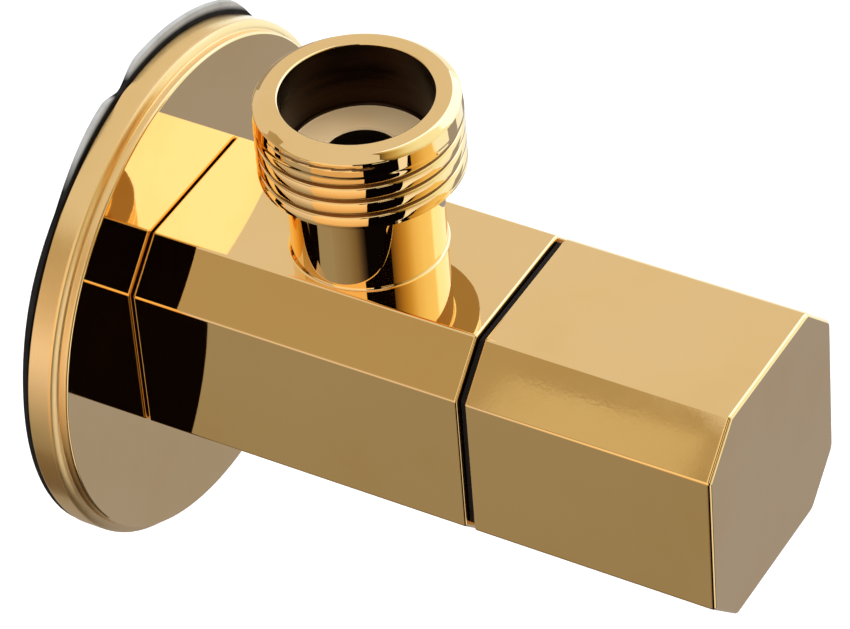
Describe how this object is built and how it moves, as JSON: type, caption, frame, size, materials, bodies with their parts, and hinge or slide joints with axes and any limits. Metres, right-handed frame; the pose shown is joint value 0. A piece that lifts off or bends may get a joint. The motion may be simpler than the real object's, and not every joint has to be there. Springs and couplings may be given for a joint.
{
  "type": "angle stop valve",
  "caption": "Polished gold angle stop valve: square corner-cut body, threaded outlet on top, round wall flange with an inlet thread behind it, and a matching quarter-turn handle.",
  "frame": {"origin": "on the inlet axis, in the wall plane at the back of the flange's gasket", "axes": "+X along the valve's axis, out of the wall towards the handle; +Z along the outlet's axis; +Y to the back as seen in the picture"},
  "size_m": [0.0775, 0.0554, 0.0595],
  "materials": {
    "gold_finish": "polished, gold-coloured coating on brass",
    "bare_brass": "machined",
    "stainless_steel": "plain",
    "white_ceramic": "lapped, opaque",
    "black_rubber": "matt",
    "black_acetal": "moulded",
    "white_nylon": "moulded"
  },
  "bodies": {
    "valve": {"valve_body": "gold_finish", "inlet_strainer": "stainless_steel", "bonnet": "bare_brass", "bonnet_oring": "black_rubber", "disc_cage": "black_acetal", "fixed_disc": "white_ceramic", "seat_seal": "black_rubber"},
    "handle": {"handle_shell": "gold_finish", "spline_adapter": "white_nylon", "handle_grub_screw": "stainless_steel", "glide_ring": "black_acetal", "stem": "bare_brass", "stem_orings": "black_rubber", "stem_circlip": "stainless_steel", "thrust_washer": "white_nylon", "rotating_disc": "white_ceramic"},
    "flange": {"escutcheon": "gold_finish", "wall_gasket": "black_rubber", "escutcheon_grip_ring": "black_rubber"}
  },
  "joints": [
    {"name": "handle_turn", "type": "hinge", "parent": "valve", "child": "handle", "pos_m": [0.0504, 0, 0], "axis": [1, 0, 0], "range_deg": [0, 90]},
    {"name": "flange_slide", "type": "slide", "parent": "valve", "child": "flange", "axis": [1, 0, 0], "range_m": [-0.006, 0]}
  ]
}
